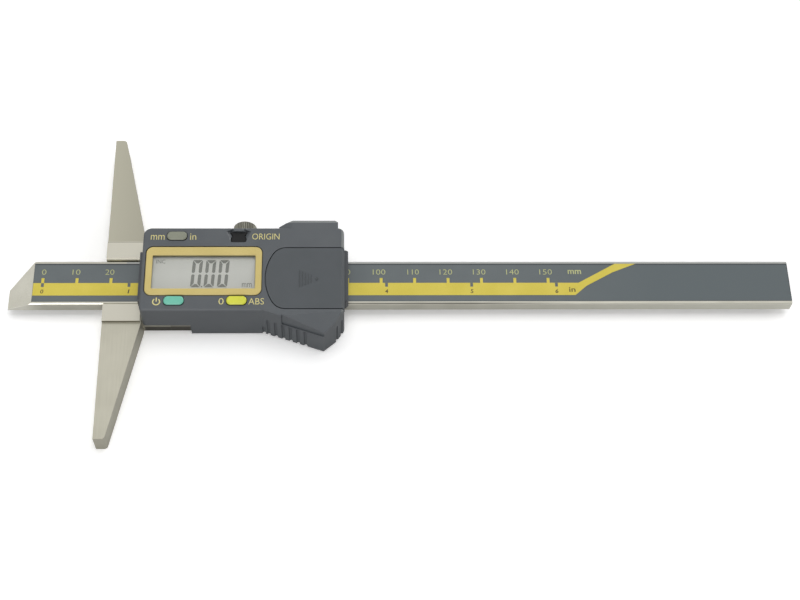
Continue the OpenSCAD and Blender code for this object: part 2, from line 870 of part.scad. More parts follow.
// The main block of the housing: a slab behind each side and a turned post at each corner
module housing_body() {
    z = [skirt_gap, house_z1];
    left_y = [front_y + front_corner_r, back_y - corner_r];
    right_y = [front_y + front_corner_r, back_y - far_corner_r];
    side_slab([house_x0 + front_corner_r, front_y], 0, house_len - 2 * front_corner_r);
    side_slab([house_x1 - far_corner_r, back_y], 180, house_len - far_corner_r - corner_r);
    side_slab([house_x0, left_y[1]], -90, left_y[1] - left_y[0]);
    side_slab([house_x1, right_y[0]], 90, right_y[1] - right_y[0]);
    block([house_x0, house_x1] + [slab_deep - over, over - slab_deep],
        [front_y, back_y] + [slab_deep - over, over - slab_deep], z);
    corner_post([house_x0 + front_corner_r, left_y[0]], front_corner_r);
    corner_post([house_x1 - front_corner_r, right_y[0]], front_corner_r);
    corner_post([house_x0 + corner_r, left_y[1]], corner_r);
    corner_post([house_x1 - far_corner_r, right_y[1]], far_corner_r);
}

module side_slab(start, turn, len) {
    c = top_chamfer;
    translate(start)
        rotate([0, 0, turn])
            rotate([90, 0, 90])
                linear_extrude(len)
                    polygon([
                        [0, skirt_gap],
                        [slab_deep, skirt_gap],
                        [slab_deep, house_z1],
                        [c, house_z1],
                        [0, house_z1 - c]
                    ]);
}

module corner_post(centre, r) {
    c = top_chamfer;
    translate(centre)
        rotate_extrude()
            polygon([
                [0, skirt_gap],
                [r, skirt_gap],
                [r, house_z1 - c],
                [r - c, house_z1],
                [0, house_z1]
            ]);
}

// The bump at the back that holds the data port, with a slanting side that leads up to it
module port_bump() {
    start = [port_x0 - port_facet_len, back_y + port_step];
    bend = [port_x0, port_y1];
    lead = bend - start;
    run = port_chamfer;
    drop = 0.5 * port_chamfer;
    facet_run = 0.75 * port_facet_len;
    difference() {
        translate([0, 0, port_z0])
            linear_extrude(house_z1 - port_z0)
                polygon([
                    [start.x, back_y - over],
                    start,
                    bend,
                    [port_x1 - port_corner, port_y1],
                    [port_x1, port_y1 - port_corner],
                    [port_x1, back_y - over]
                ]);
        edge_chamfer([start.x, start.y, house_z1], atan2(lead.y, lead.x), 2 * norm(lead), run,
            drop);
        edge_chamfer([port_x0 - over, port_y1, house_z1], 0, port_len + 3 * over, run, drop);
        edge_chamfer([port_x0 - facet_run, back_y - over, house_z1], 90, port_reach + 2 * over,
            facet_run, port_facet_drop);
    }
}

// The thumb rest: a pointed lobe whose top falls from a crease to its tip
module thumb_rest() {
    crease_start = thumb_start + thumb_level * (thumb_tip - thumb_start);
    crease = [house_x1 - 0.9, front_y - 0.4] - crease_start;
    to_tip = thumb_tip - crease_start;
    tip_off = (crease.y * to_tip.x - crease.x * to_tip.y) / norm(crease);
    difference() {
        translate([0, 0, skirt_gap])
            linear_extrude(house_z1 - skirt_gap)
                polygon([
                    thumb_start + [0, over],
                    thumb_start,
                    thumb_tip,
                    thumb_bend,
                    thumb_end,
                    thumb_end + [-over, over]
                ]);
        translate([crease_start.x, crease_start.y, house_z1])
            rotate([0, 0, atan2(crease.y, crease.x)])
                rotate([atan2(thumb_drop, tip_off), 0, 0])
                    translate([-house_len, -3 * thumb_reach, 0])
                        cube([2 * house_len, 3 * thumb_reach, 2 * thumb_drop]);
        // The band over the ribs lies a little deeper
        translate([crease_start.x, crease_start.y, groove_h + 0.2])
            rotate([0, 0, atan2(to_tip.y, to_tip.x)])
                translate([0, -over, 0])
                    cube([norm(to_tip) + over, over + band_deep, house_z1]);
    }
}

// The hollow under the thumb rest
module thumb_hollow() {
    w = thumb_wall;
    translate([0, 0, -over])
        linear_extrude(house_z1 - thumb_drop - w + over)
            polygon([
                [thumb_start.x + 3.6 * w, front_y],
                thumb_tip + [-0.5 * w, 1.3 * w],
                thumb_bend + [-1.2 * w, 0.4 * w],
                [thumb_end.x - 2 * w, front_y]
            ]);
}

// The grooves down both flanks of the thumb rest
module grip_grooves() {
    long_flank = thumb_tip - thumb_start;
    short_flank = thumb_end - thumb_bend;
    long_len = norm(long_flank);
    for (along = [thumb_smooth : groove_pitch : long_len - groove_pitch / 2])
        grip_groove(thumb_tip - long_flank / long_len * along, groove_h);
    grip_groove(thumb_start, groove_h / 2);
    for (along = [0.15, 0.72])
        grip_groove(thumb_bend + short_flank * along, groove_h);
}

module grip_groove(place, h) {
    translate([place.x, place.y, -over])
        rotate([0, 0, 37])
            rotate_extrude()
                polygon([
                    [0, 0],
                    [groove_r, 0],
                    [groove_r, h + over - groove_r],
                    [0, h + over]
                ]);
}

// The bezel's seat and the opening below it
module display_opening() {
    lap = window_lap + 0.1;
    round_plate([bezel_x0 - bezel_gap, bezel_x1 + bezel_gap],
        [bezel_y0 - bezel_gap, bezel_y1 + bezel_gap], [bezel_z0, house_z1 + over],
        bezel_r + bezel_gap);
    block([view_x0 - lap, view_x1 + lap], [view_y0 - lap, view_y1 + lap],
        [top_inner_z - over, house_z1]);
}

module key_openings() {
    for (i = [0, 2, 3])
        round_plate(span(key_places()[i].x, key_len / 2 + key_gap),
            span(key_places()[i].y, key_w / 2 + key_gap), [top_inner_z - over, house_z1 + over],
            key_w / 2 - 0.1);
    translate([0, 0, top_inner_z - over])
        linear_extrude(house_z1 - top_inner_z + 2 * over)
            sunk_outline(key_gap);
    for (side = [0, 1])
        translate([key_places()[1].x, key_places()[1].y, house_z1])
            mirror([side, 0, 0])
                scoop();
}

// Outline of the sunk key: wide at the housing's back, a waist, and a body with cut corners
module sunk_outline(grow) {
    half = sunk_key_len / 2;
    low = -sunk_key_w / 2 - grow;
    place = key_places()[1];
    right = [
        [half * 0.72 + grow, low],
        [half * 0.86 + grow, low + 0.4],
        [half * 0.86 + grow, -0.5],
        [half * 0.7 + grow, 0.6],
        [half + grow, -low]
    ];
    translate([place.x, place.y])
        polygon([
            for (p = right) p,
            for (i = [len(right) - 1 : -1 : 0]) [-right[i].x, right[i].y]
        ]);
}

// The slope that a finger slides down to the sunk key, spreading towards the housing's back
module scoop() {
    side_x = sunk_key_len * 0.43;
    turn = atan2(scoop_spread, sunk_key_w);
    translate([side_x, -sunk_key_w / 2, 0])
        rotate([0, 0, 90 - turn])
            rotate([-atan2(scoop_deep, scoop_spread), 0, 0])
                cube([sunk_key_w / cos(turn), 1.8, 2 * over]);
}

// The recess for the battery cover, its runners' slots and the cell's well
module battery_bay() {
    translate([0, 0, bay_z1])
        linear_extrude(cover_t + 2 * over)
            cover_outline(cover_gap, over);
    block([cover_x1 - lip_t - cover_gap, cover_x1 + over],
        [lip_y0() - cover_gap, lip_y1() + cover_gap], [house_z1 - lip_h - 0.1, house_z1 + over]);
    translate([cell_x, cover_mid_y, board_z1])
        cylinder(r = well_r, h = cover_z0);
    block([cell_x, cell_x + well_r + 0.5], span(cover_mid_y, 1.4), [board_z1 - over, cover_z0]);
    for (side = [-1, 1])
        runner(side, 0.1, over + 3);
}

function lip_y0() = cover_y0 + 0.7;
function lip_y1() = cover_y1 - 0.7;

// Outline of the battery cover: its inner end is an arc that a small arc joins to each side
module cover_outline(grow, past) {
    half = cover_w / 2;
    inner_r = cover_arc_r - cover_corner_r;
    corner_dy = half - cover_corner_r;
    corner_x = cover_x0 + cover_arc_r - sqrt(inner_r * inner_r - corner_dy * corner_dy);
    meet_dy = (cover_arc_r + grow) * corner_dy / inner_r;
    intersection() {
        translate([cover_x0 + cover_arc_r, cover_mid_y])
            circle(cover_arc_r + grow);
        block_2d([cover_x0 - over, cover_x0 + cover_arc_r], span(cover_mid_y, meet_dy));
    }
    for (side = [-1, 1])
        translate([corner_x, cover_mid_y + side * corner_dy])
            circle(cover_corner_r + grow);
    block_2d([corner_x, cover_x1 + past], span(cover_mid_y, half + grow));
}

// One runner under the battery cover: a rib with a foot that hooks under the bay's floor
module runner(side, grow, past) {
    y_in = runner_in - grow;
    y_rib = runner_in + runner_w + grow;
    y_foot = runner_in + runner_w + runner_foot + grow;
    foot_z = [bay_z0 - 0.1 - runner_foot_h - grow, bay_z0 - 0.1 + grow];
    translate([0, cover_mid_y, 0])
        mirror([0, side > 0 ? 0 : 1, 0]) {
            block([runner_x0 - grow, runner_x1 + past], [y_in, y_rib], [foot_z[0], cover_z0 + fit]);
            block([runner_x0 - grow, runner_x1 + past], [y_in, y_foot], foot_z);
        }
}

// The pocket for the port's cover and socket
module port_pocket() {
    x = [port_cover_x0, port_cover_x0 + port_cover_len];
    z = [port_cover_z0, port_cover_z0 + port_cover_h];
    block(x + [-0.1, 0.1], [port_y1 - port_plate_t - 0.1, port_y1 + over], z + [-0.1, 0.1]);
    block(x + [port_lip - 0.1, 0.1 - port_lip], [0, port_y1 + over],
        z + [port_lip - 0.1, 0.1 - port_lip]);
}

module housing_screws() {
    color("#8d8b84")
        for (x = house_screw_x, side = [-1, 1])
            translate([house_x0 + x, side * screw_y, screw_sink])
                cross_screw(screw_r, screw_head_r, plate_z1 + 3.5);
}

// The collars that close the gap over the beam at both ends of the slider
module front_collar() {
    color("#45484b")
        round_x([block_depth + fit, house_x0], front_collar_half,
            [base_t + fit, beam_z1 + collar_h]);
}

module rear_collar() {
    color("#45484b")
        difference() {
            round_x([house_x1, house_x1 + rear_collar_t], rear_collar_half,
                [beam_z1 + 0.15, beam_z1 + collar_h]);
            for (side = [0, 1])
                mirror([0, side])
                    translate([house_x1 + rear_collar_t, rear_collar_half])
                        linear_extrude(house_z1)
                            polygon([
                                [over, -rear_collar_cut - over],
                                [over, over],
                                [-rear_collar_cut - over, over]
                            ]);
        }
}

// A plate across the beam with its two upper corners rounded
module round_x(x, half, z) {
    r = 0.6;
    translate([x[0], 0, 0])
        rotate([90, 0, 90])
            linear_extrude(x[1] - x[0])
                union() {
                    block_2d([-half, half], [z[0], z[1] - r]);
                    block_2d([r - half, half - r], z);
                    for (y = [r - half, half - r])
                        translate([y, z[1] - r])
                            circle(r);
                }
}

// The button cell: a can with a smaller cap towards the board
module button_cell() {
    color("#c8c8c4")
        translate([cell_x, cover_mid_y, cell_z0])
            rotate_extrude()
                polygon([
                    [0, 0],
                    [cell_r - 1.4, 0],
                    [cell_r - 1.2, 0.6],
                    [cell_r - 0.3, 0.8],
                    [cell_r, 1.1],
                    [cell_r, cell_h - 0.3],
                    [cell_r - 0.3, cell_h],
                    [0, cell_h]
                ]);
}

module negative_contact() {
    color("#c9b26a")
        translate([cell_x, cover_mid_y, board_z1])
            difference() {
                cylinder(r = 3, h = contact_t);
                translate([0, 0, -over])
                    cylinder(r = 1.2, h = 2 * over);
            }
}

module positive_contact() {
    x = cell_x + cell_r + 0.1;
    color("#c9b26a") {
        block([x, x + 0.3], span(cover_mid_y, 1), [board_z1, cell_z0 + cell_h - 0.8]);
        block([x, x + 1.4], span(cover_mid_y, 1), [board_z1, board_z1 + 0.2]);
    }
}

// The socket behind the port's cover, with its row of contacts
module port_socket() {
    x = [port_cover_x0 + port_lip, port_cover_x0 + port_cover_len - port_lip];
    z = [port_cover_z0 + port_lip, port_cover_z0 + port_cover_h - port_lip];
    step = (x[1] - x[0] - 2.6) / 4;
    socket_y1 = port_y1 - port_plate_t - port_tongue - 0.2;
    color("#2a2b2d")
        difference() {
            block(x, [inner_half - 0.2, socket_y1], z);
            for (i = [0 : 4])
                block(span(x[0] + 1.3 + i * step, 0.3),
                    [socket_y1 - 0.5, socket_y1 + over], z + [0.8, -0.8]);
        }
}

// The lock screw: a knurled knob on a thread that presses the gib
module lock_screw() {
    knob_y = back_y + knob_gap;
    r = knob_d / 2;
    color("#b9b6a8") {
        rod_y(lock_x, beam_mid_z, gib_y1 + 0.1, knob_y + fit, lock_d / 2);
        rod_y(lock_x, beam_mid_z, frame_half + 0.3, knob_y + fit, lock_d / 2 + 0.7);
        translate([lock_x, knob_y, beam_mid_z])
            rotate([-90, 0, 0])
                intersection() {
                    linear_extrude(knob_len)
                        polygon([
                            for (i = [0 : 2 * knurl_count - 1])
                                let (a = i * 180 / knurl_count, k = r - (i % 2) * knurl_deep)
                                    k * [cos(a), sin(a)]
                        ]);
                    rotate_extrude()
                        polygon([
                            [0, 0],
                            [r - 0.4, 0],
                            [r + 0.01, 0.4],
                            [r + 0.01, knob_len - 0.5],
                            [r - 0.5, knob_len],
                            [0, knob_len]
                        ]);
                }
    }
}

// A key: a cap in the housing's opening, over its flange and stem
module key(place) {
    eased_plate(span(place.x, key_len / 2), span(place.y, key_w / 2),
        [top_inner_z - 0.1, house_z1 + key_rise], key_w / 2 - 0.15, key_ease);
    key_foot(place, key_len / 2, key_w / 2);
}

// The flange that holds a key under the housing's top, and the stem over its dome
module key_foot(place, half, half_w) {
    block(span(place.x, half + 0.5), span(place.y, half_w - 0.4),
        [top_inner_z - 0.8, top_inner_z - 0.05]);
    block(span(place.x, 1.2), span(place.y, 0.8),
        [board_z1 + dome_h + key_travel + fit, top_inner_z - 0.5]);
}

module unit_key() {
    color("#8f9286")
        key(key_places()[0]);
}

module origin_key() {
    color("#17181a") {
        translate([0, 0, top_inner_z - 0.1])
            linear_extrude(top_t + 0.1 - 0.5 * scoop_deep)
                sunk_outline(0);
        key_foot(key_places()[1], sunk_key_len / 2, 0.35 * sunk_key_w);
    }
}

module power_key() {
    color("#6cc4ab")
        key(key_places()[2]);
}

module zero_key() {
    color("#dfe03c")
        key(key_places()[3]);
}

// The battery cover: it slides off along the beam on two runners
module battery_cover() {
    color("#565a5e")
        difference() {
            union() {
                translate([0, 0, cover_z0])
                    linear_extrude(cover_t)
                        cover_outline(0, 0);
                block([cover_x1 - lip_t, cover_x1], [lip_y0(), lip_y1()],
                    [house_z1 - lip_h, house_z1]);
                for (side = [-1, 1])
                    runner(side, 0, 0);
            }
            edge_chamfer([cover_x1, cover_y1 + over, house_z1], -90, cover_w + 2 * over,
                end_chamfer, end_chamfer);
        }
}

// The cover pressed into the data port
module port_cover() {
    x = [port_cover_x0, port_cover_x0 + port_cover_len];
    z = [port_cover_z0, port_cover_z0 + port_cover_h];
    color("#45484b")
        union() {
            block(x, [port_y1 - port_plate_t, port_y1], z);
            block(x + [port_lip, -port_lip],
                [port_y1 - port_plate_t - port_tongue, port_y1 - port_plate_t + fit],
                z + [port_lip, -port_lip]);
        }
}

beam();
scale_board();
scale_cover();
scale_stripe();
stop_plate();
stop_screws();
base();
base_screws();
slider_frame();
gib_strip();
gib_screws();
retaining_plate();
sensor_board();
circuit_board();
key_domes();
lcd_panel();
contact_strips();
display_window();
bezel();
housing();
housing_screws();
front_collar();
rear_collar();
button_cell();
negative_contact();
positive_contact();
port_socket();
lock_screw();
unit_key();
origin_key();
power_key();
zero_key();
battery_cover();
port_cover();
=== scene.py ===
import math

import bmesh
import bpy
from mathutils import Matrix, Vector


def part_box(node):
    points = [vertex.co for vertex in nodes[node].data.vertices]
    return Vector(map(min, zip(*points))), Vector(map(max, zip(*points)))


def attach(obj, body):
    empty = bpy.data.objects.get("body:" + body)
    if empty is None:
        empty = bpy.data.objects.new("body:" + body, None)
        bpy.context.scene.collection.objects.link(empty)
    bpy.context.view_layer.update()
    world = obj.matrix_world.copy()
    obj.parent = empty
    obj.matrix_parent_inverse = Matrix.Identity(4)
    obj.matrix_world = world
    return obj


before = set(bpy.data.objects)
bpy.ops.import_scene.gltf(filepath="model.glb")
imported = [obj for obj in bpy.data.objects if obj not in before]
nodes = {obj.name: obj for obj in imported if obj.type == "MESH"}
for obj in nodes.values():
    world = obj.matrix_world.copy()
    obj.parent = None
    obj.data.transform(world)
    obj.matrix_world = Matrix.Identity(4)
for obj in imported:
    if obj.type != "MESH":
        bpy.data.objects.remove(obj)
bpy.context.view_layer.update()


# Camera
# The photograph looks down on the tool's face at about 62 degrees, with the beam level across
# the picture. The place, turn and focal length come from a fit to the printed scale.
def put_in_scene(name, data):
    """Makes an object of a camera, light, text or mesh, and links it to the scene."""
    thing = bpy.data.objects.new(name, data)
    bpy.context.scene.collection.objects.link(thing)
    return thing


focal_length, picture_width = 1522.46, 800  # both in pixels of the photograph
camera_place = (0.069977, -0.215728, 0.406049)
camera_right = Vector((0.99926897, -0.01878421, 0.03329696))
camera_up = Vector((0.00112458, 0.8850299, 0.46553282))
camera_data = bpy.data.cameras.new("photo_camera")
camera_data.sensor_width = 36.0
camera_data.lens = focal_length / picture_width * camera_data.sensor_width
camera_data.clip_start = 0.01
camera_data.clip_end = 10.0
camera = put_in_scene("photo_camera", camera_data)
camera.matrix_world = Matrix.Translation(camera_place) @ Matrix(
    (camera_right, camera_up, camera_right.cross(camera_up))).transposed().to_4x4()
bpy.context.scene.camera = camera
bpy.context.scene.view_settings.view_transform = "Standard"


# Beam
# A flat bar of hardened stainless steel, ground along its length and thinned to a tip. Fine
# grinding lines run along it, so its rims look satin and a little brighter than its sides.
MM = 0.001


def linear(colour):
    """An sRGB hex colour as linear RGBA."""
    channels = [int(colour[i:i + 2], 16) / 255 for i in (1, 3, 5)]
    return [c / 12.92 if c <= 0.04045 else ((c + 0.055) / 1.055) ** 2.4
            for c in channels] + [1.0]


def add(tree, kind, inputs=None, **settings):
    """Adds a node: settings are its attributes, and an input is given a value or a link."""
    node = tree.nodes.new(kind)
    for name, value in settings.items():
        setattr(node, name, value)
    for name, value in (inputs or {}).items():
        socket = next(s for s in node.inputs if name in (s.identifier, s.name))
        if isinstance(value, bpy.types.NodeSocket):
            tree.links.new(value, socket)
        else:
            socket.default_value = value
    return node


def new_finish(name, **surface):
    """A material with one Principled surface, whose plain inputs are given by name."""
    material = bpy.data.materials.new(name)
    material.use_nodes = True
    tree = material.node_tree
    tree.nodes.clear()
    shader = add(tree, "ShaderNodeBsdfPrincipled", surface)
    add(tree, "ShaderNodeOutputMaterial", {"Surface": shader.outputs["BSDF"]})
    add(tree, "ShaderNodeTexCoord")
    return material


def parts_of(material):
    """A finish's node tree, its surface, and the place on the object in metres."""
    tree = material.node_tree
    shader = next(node for node in tree.nodes if node.type == "BSDF_PRINCIPLED")
    place = next(node for node in tree.nodes if node.type == "TEX_COORD")
    return tree, shader, place.outputs["Object"]


def pattern(material, fine, slow, dark, light, bump, depth_mm, rough_by, rough_from, rough_to):
    """Links two noises to a finish: together they shade its colour from dark to light, the
    fine one is its bump, and rough_by varies its roughness."""
    least, most = 0.7, 1.3  # nearly all of the two noises' sum lies between these
    tree, shader, _ = parts_of(material)
    both = add(tree, "ShaderNodeMath", {"Value": fine, "Value_001": slow}, operation="ADD")
    tone = add(tree, "ShaderNodeMapRange", {
        "Value": both.outputs["Value"], "From Min": least, "From Max": most})
    colour = add(tree, "ShaderNodeMix", {
        "Factor": tone.outputs["Result"], "A_Color": linear(dark), "B_Color": linear(light)},
        data_type="RGBA")
    rough = add(tree, "ShaderNodeMapRange", {
        "Value": rough_by, "To Min": rough_from, "To Max": rough_to})
    relief = add(tree, "ShaderNodeBump", {
        "Height": fine, "Strength": bump, "Distance": depth_mm * MM})
    tree.links.new(colour.outputs[2], shader.inputs["Base Color"])
    tree.links.new(rough.outputs["Result"], shader.inputs["Roughness"])
    tree.links.new(relief.outputs["Normal"], shader.inputs["Normal"])


def ground_steel(name, dark, light, roughness, along, line_mm=0.16, bump=0.04):
    """Ground, rolled or turned metal, with lines along one axis, 0 for X to 2 for Z. Real grit
    leaves lines about 0.02 mm apart; these are drawn coarser, at line_mm, so that they show."""
    streak_mm, cloud_mm, groove_mm, spread = 14.0, 9.0, 0.02, 0.06
    material = new_finish(name, Metallic=1.0)
    tree, _, place = parts_of(material)
    scale = [1 / (line_mm * MM)] * 3
    scale[along] = 1 / (streak_mm * MM)
    stretched = add(tree, "ShaderNodeMapping", {"Vector": place, "Scale": scale})
    lines = add(tree, "ShaderNodeTexNoise", {
        "Vector": stretched.outputs["Vector"], "Scale": 1.0, "Detail": 3.0}).outputs["Fac"]
    cloud = add(tree, "ShaderNodeTexNoise", {
        "Vector": place, "Scale": 1 / (cloud_mm * MM), "Detail": 2.0}).outputs["Fac"]
    pattern(material, lines, cloud, dark, light, bump, groove_mm,
            lines, roughness - spread, roughness + spread)
    return material


def dress(material, *names):
    """Gives CAD nodes this material."""
    for name in names:
        mesh = nodes[name].data
        mesh.materials.clear()
        mesh.materials.append(material)


def shade_where(material, colour, soft=0.08, **limits):
    """Mixes a colour in where X, Y or Z lies between two limits in mm. The change is soft over
    that many mm on either side of a limit, and a third number is an axis's own softness."""
    tree, shader, place = parts_of(material)
    axes = add(tree, "ShaderNodeSeparateXYZ", {"Vector": place})
    share = 1.0
    for axis, (low, high, *own) in limits.items():
        fade = own[0] if own else soft
        for start, end in ((low - fade, low + fade), (high + fade, high - fade)):
            edge = add(tree, "ShaderNodeMapRange", {
                "Value": axes.outputs[axis], "From Min": start * MM, "From Max": end * MM})
            share = add(tree, "ShaderNodeMath", {
                "Value": edge.outputs["Result"], "Value_001": share},
                operation="MULTIPLY").outputs["Value"]
    base_colour = shader.inputs["Base Color"]
    mixed = add(tree, "ShaderNodeMix", {
        "Factor": share, "B_Color": linear(colour),
        "A_Color": base_colour.links[0].from_socket}, data_type="RGBA")
    tree.links.new(mixed.outputs[2], base_colour)


# Ground stainless steel: a warm satin grey, with glints that run along the bar.
beam_steel = ground_steel("ground_stainless_beam", "#bcbaad", "#cdcbbf", roughness=0.33, along=0)
dress(beam_steel, "beam", "stop_plate")

# The eased edges and sides carry painted light. From the base on, the far rim is painted a cooler
# grey, as painted shade. The front side has a painted highlight at the tip and is painted paler at
# the far end, and its upper edge is a painted dark reflection line, darkest just behind the
# housing.
beam_low, beam_high = [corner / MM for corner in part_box("beam")]
in_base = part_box("base")[0].x / MM + 6
tip_long = 7.4
far_rim = (beam_high.y - 0.8, beam_high.y + 1)
front_side = (beam_low.y - 1, beam_low.y + 0.05)
front_edge = (beam_low.y - 1, beam_low.y + 0.15)
front_rim = (beam_low.y - 1, beam_low.y + 0.36)
upper_edge = (beam_high.z - 0.3, beam_high.z + 1)
shade_where(beam_steel, "#b0b2af", X=(in_base, beam_high.x + 1), Y=far_rim)
shade_where(beam_steel, "#efede1", X=(beam_low.x - 9, beam_low.x + tip_long, 3), Y=front_side,
            soft=0.05)
shade_where(beam_steel, "#8f8e84", X=(beam_low.x + tip_long + 3, beam_high.x + 1),
            Z=upper_edge, Y=front_edge, soft=0.05)
shade_where(beam_steel, "#5f5e57", X=(beam_low.x + 48.4, beam_high.x - 80, 15),
            Z=upper_edge, Y=front_rim, soft=0.05)
shade_where(beam_steel, "#dddcd0", X=(beam_high.x - 60, beam_high.x + 60, 40), Y=front_side,
            Z=(0, beam_high.z - 0.3), soft=0.05)


# Scale
# The scale is a glass-fibre board with a printed polyester film over it, let into the beam.
# The film is a satin blue grey, and its marks and figures are screen printed in yellow.
def moulded(name, dark, light, roughness, grain_mm, bump, **surface):
    """Plastic, film, ink or lacquer: a fine even grain, and a faint slow change of shade. The
    real grain is 0.05 mm or less; it is drawn coarser, at grain_mm, so that it shows."""
    blotch_mm, pit_mm, spread = 6.0, 0.03, 0.05
    material = new_finish(name, **surface)
    tree, _, place = parts_of(material)
    grain = add(tree, "ShaderNodeTexNoise", {
        "Vector": place, "Scale": 1 / (grain_mm * MM), "Detail": 2.0,
        "Roughness": 0.6}).outputs["Fac"]
    blotch = add(tree, "ShaderNodeTexNoise", {
        "Vector": place, "Scale": 1 / (blotch_mm * MM), "Detail": 1.0}).outputs["Fac"]
    pattern(material, grain, blotch, dark, light, bump, pit_mm,
            blotch, roughness - spread, roughness + spread)
    return material


def add_piece(name, mesh, material, body):
    """Makes a piece of a mesh, with its material and the body that it rides on."""
    mesh.materials.clear()
    mesh.materials.append(material)
    piece = put_in_scene(name, mesh)
    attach(piece, body)


def printed(name, text, x, y, z, body, material, weight=0.012, slant=0.0):
    """Flat printed lettering as a mesh: x and y are the limits in mm that the text fills."""
    curve = bpy.data.curves.new(name, "FONT")
    curve.body = text
    curve.shear = slant
    curve.resolution_u = 3
    curve.offset = weight
    source = put_in_scene(name, curve)
    bpy.context.view_layer.update()
    mesh = bpy.data.meshes.new_from_object(source.evaluated_get(
        bpy.context.evaluated_depsgraph_get()))
    bpy.data.objects.remove(source)
    low = [min(v.co[i] for v in mesh.vertices) for i in (0, 1)]
    high = [max(v.co[i] for v in mesh.vertices) for i in (0, 1)]
    for vertex in mesh.vertices:
        part_x, part_y = [(vertex.co[i] - low[i]) / (high[i] - low[i]) for i in (0, 1)]
        vertex.co = Vector((x[0] + part_x * (x[1] - x[0]), y[0] + part_y * (y[1] - y[0]), z)) * MM
    add_piece(name, mesh, material, body)


# Polyester film is smooth and satin. The screen inks are a little matt, and the fine figures
# let some of the film's grey through. The board is green epoxy with some gloss.
scale_film = moulded("printed_polyester_film", "#575e60", "#5d6466",
                     roughness=0.42, grain_mm=0.25, bump=0.05, IOR=1.57)
stripe_ink = moulded("yellow_screen_ink", "#cebd48", "#d7c656",
                     roughness=0.45, grain_mm=0.3, bump=0.05, IOR=1.5)
pale_ink = moulded("pale_yellow_screen_ink", "#b3b57c", "#bcbe86",
                   roughness=0.45, grain_mm=0.3, bump=0.03, IOR=1.5)
dark_ink = moulded("dark_screen_ink", "#4a4128", "#54492e",
                   roughness=0.5, grain_mm=0.3, bump=0.03, IOR=1.5)
board = moulded("epoxy_glass_board", "#2c5a38", "#336640",
                roughness=0.35, grain_mm=0.4, bump=0.1, IOR=1.55)
dress(scale_film, "scale_cover")
dress(stripe_ink, "scale_stripe")
dress(board, "scale_board", "sensor_board", "circuit_board")

# The film is a little darker towards the far end, and its seam with the steel is a dark line.
film_low, film_high = [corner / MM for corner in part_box("scale_cover")]
shade_where(scale_film, "#4f585b", X=(film_high.x - 65, film_high.x + 60), soft=25)
shade_where(scale_film, "#33373a", Y=(film_high.y - 0.4, film_high.y + 1))
shade_where(scale_film, "#454a4c", Y=(film_low.y - 1, film_low.y + 0.15))
shade_where(scale_film, "#33373a", X=(film_high.x - 0.2, film_high.x + 1))

print_lift = 0.02  # a printed layer lies this many mm over what carries it
film_z = film_high.z + print_lift
band_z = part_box("scale_stripe")[1].z / MM + print_lift
zero_x = beam_low.x + 10.1  # the scale's nought, from the end of the tip
mark_step, last_mark, inch_step = 10, 150, 25.4
figure_y, inch_y = (2.62, 4.38), (-3.69, -2.36)  # feet and tops, from the beam's middle

# A figure's width, and how far it reaches to the right of its mark, with one to three digits.
figure_wide, figure_reach = (1.3, 2.65, 3.75), (0.8, 0.8, 1.3)
for mark in range(0, last_mark + 1, mark_step):
    digits = len(str(mark))
    text_right = zero_x + mark + figure_reach[digits - 1]
    text_left = text_right - figure_wide[digits - 1]
    if mark in (10, 110):  # these two are narrower, because a 1 is
        text_left += 0.35
    printed(f"millimetres_{mark}", str(mark), (text_left, text_right), figure_y, film_z,
            "beam", pale_ink, weight=-0.01)
for inch in range(7):
    half_wide = 0.28 if inch == 1 else 0.45
    middle = zero_x + inch * inch_step
    printed(f"inches_{inch}", str(inch), (middle - half_wide, middle + half_wide), inch_y,
            band_z, "beam", dark_ink, slant=0.1)
unit_x = zero_x + 156.1
printed("millimetre_unit", "mm", (unit_x, unit_x + 4.0), (2.8, 4.2), film_z, "beam",
        pale_ink)
printed("inch_unit", "in", (unit_x, unit_x + 1.9), (-3.3, -1.7), band_z, "beam",
        dark_ink)


# Base and slider frame
# The base is one hardened stainless T, surface ground so that its measuring face is flat. The
# frame behind it is milled from the same steel, and both have a warm, even satin look.
base_steel = ground_steel("ground_stainless_base", "#b8b5a6", "#c3c0b1",
                          roughness=0.42, along=1, line_mm=0.2, bump=0.03)
dress(base_steel, "base")

# The raised block is paler on top. Painted shade draws a fine dark line at its far end, at its
# near end and over the beam. The far arm is a little greyer than the near one, with painted shade
# along its right side, away from the light.
base_low, base_high = [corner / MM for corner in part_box("base")]
block_z = base_high.z
block_end = 13.25  # half the block's length
block_top = (block_z - 0.1, block_z + 1)
far_arm = (block_end + 0.75, base_high.y + 10)
under_housing = (-1, 2.6)  # the lowest steel, which the housing keeps the light from
house_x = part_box("housing")[0].x / MM
shade_where(base_steel, "#c8c5b8", Z=block_top)
shade_where(base_steel, "#8d8a7e", Z=block_top, Y=(block_end - 0.2, block_end + 0.75))
shade_where(base_steel, "#6d6a60", Z=(block_z - 0.8, block_z - 0.1),
            Y=(-block_end - 0.75, 0.1 - block_end))
shade_where(base_steel, "#918e83", Z=(block_z - 0.45, block_z - 0.05),
            Y=(beam_high.y - 0.2, beam_high.y + 0.7))
# Painted shadow: the lowest steel beside the housing is darkened where the housing keeps the light
# from it.
shade_where(base_steel, "#605e57", Z=under_housing, X=(house_x + 0.2, base_high.x + 10), soft=0.3)
shade_where(base_steel, "#b2af9f", Y=far_arm)
shade_where(base_steel, "#a7a495", X=(base_low.x + 6, base_high.x + 10, 5), Y=far_arm)
